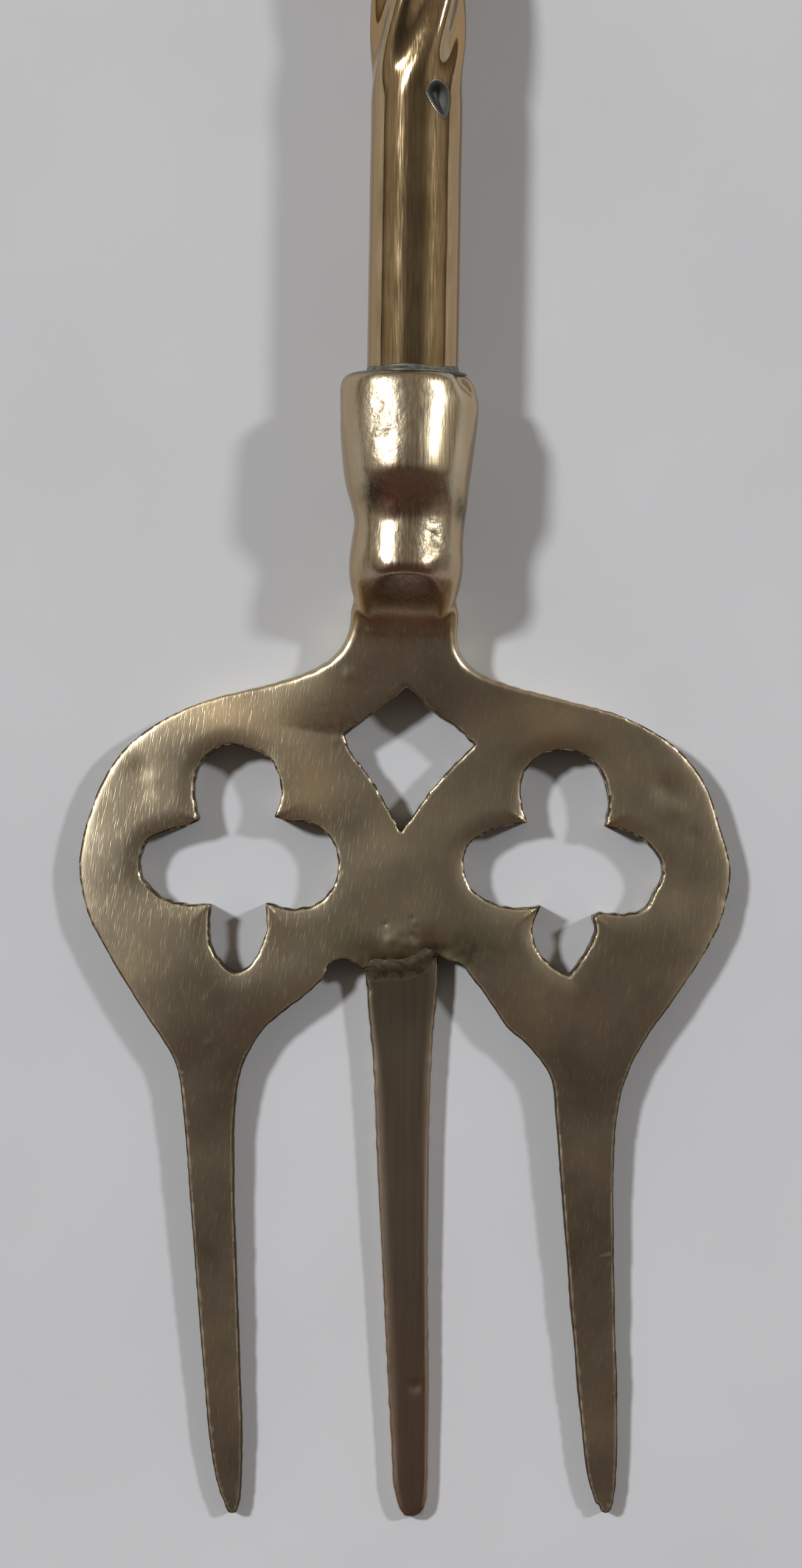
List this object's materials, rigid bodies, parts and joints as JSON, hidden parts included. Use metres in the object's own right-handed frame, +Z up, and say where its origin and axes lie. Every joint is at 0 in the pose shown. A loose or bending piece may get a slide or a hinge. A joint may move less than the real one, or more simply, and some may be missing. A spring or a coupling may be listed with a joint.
{
  "type": "toasting fork",
  "caption": "Brass toasting fork: pierced cast head with tines and a baluster socket, on a fluted twisted tube stem with a capped end and a loose hanging ring.",
  "frame": {"origin": "centre of the fork's box on the plane that it lies on", "axes": "+X to the right seen from the front with the handle up, +Y from the tines to the handle, +Z up out of the front face"},
  "size_m": [0.069, 0.4868, 0.0145],
  "materials": {
    "cast_brass": "cast, linished and worn, brown toning",
    "forged_brass": "forged, dark toning, bright chamfers",
    "tube_brass": "drawn tube, polished, brown toning",
    "wire_brass": "drawn wire, polished",
    "braze": "dull filler metal",
    "solder": "dull grey solder with verdigris"
  },
  "bodies": {
    "fork": {"fork_head": "cast_brass", "centre_tine": "forged_brass", "tine_braze": "braze", "stem_tube": "tube_brass", "socket_solder": "solder", "handle_cap": "cast_brass", "cap_solder": "solder"},
    "ring": {"hanging_ring": "wire_brass"}
  },
  "joints": [
    {"name": "ring_swing", "type": "hinge", "parent": "fork", "child": "ring", "pos_m": [0, 0.21899, 0.00725], "axis": [1, 0, 0], "range_deg": [-120, 150]}
  ]
}
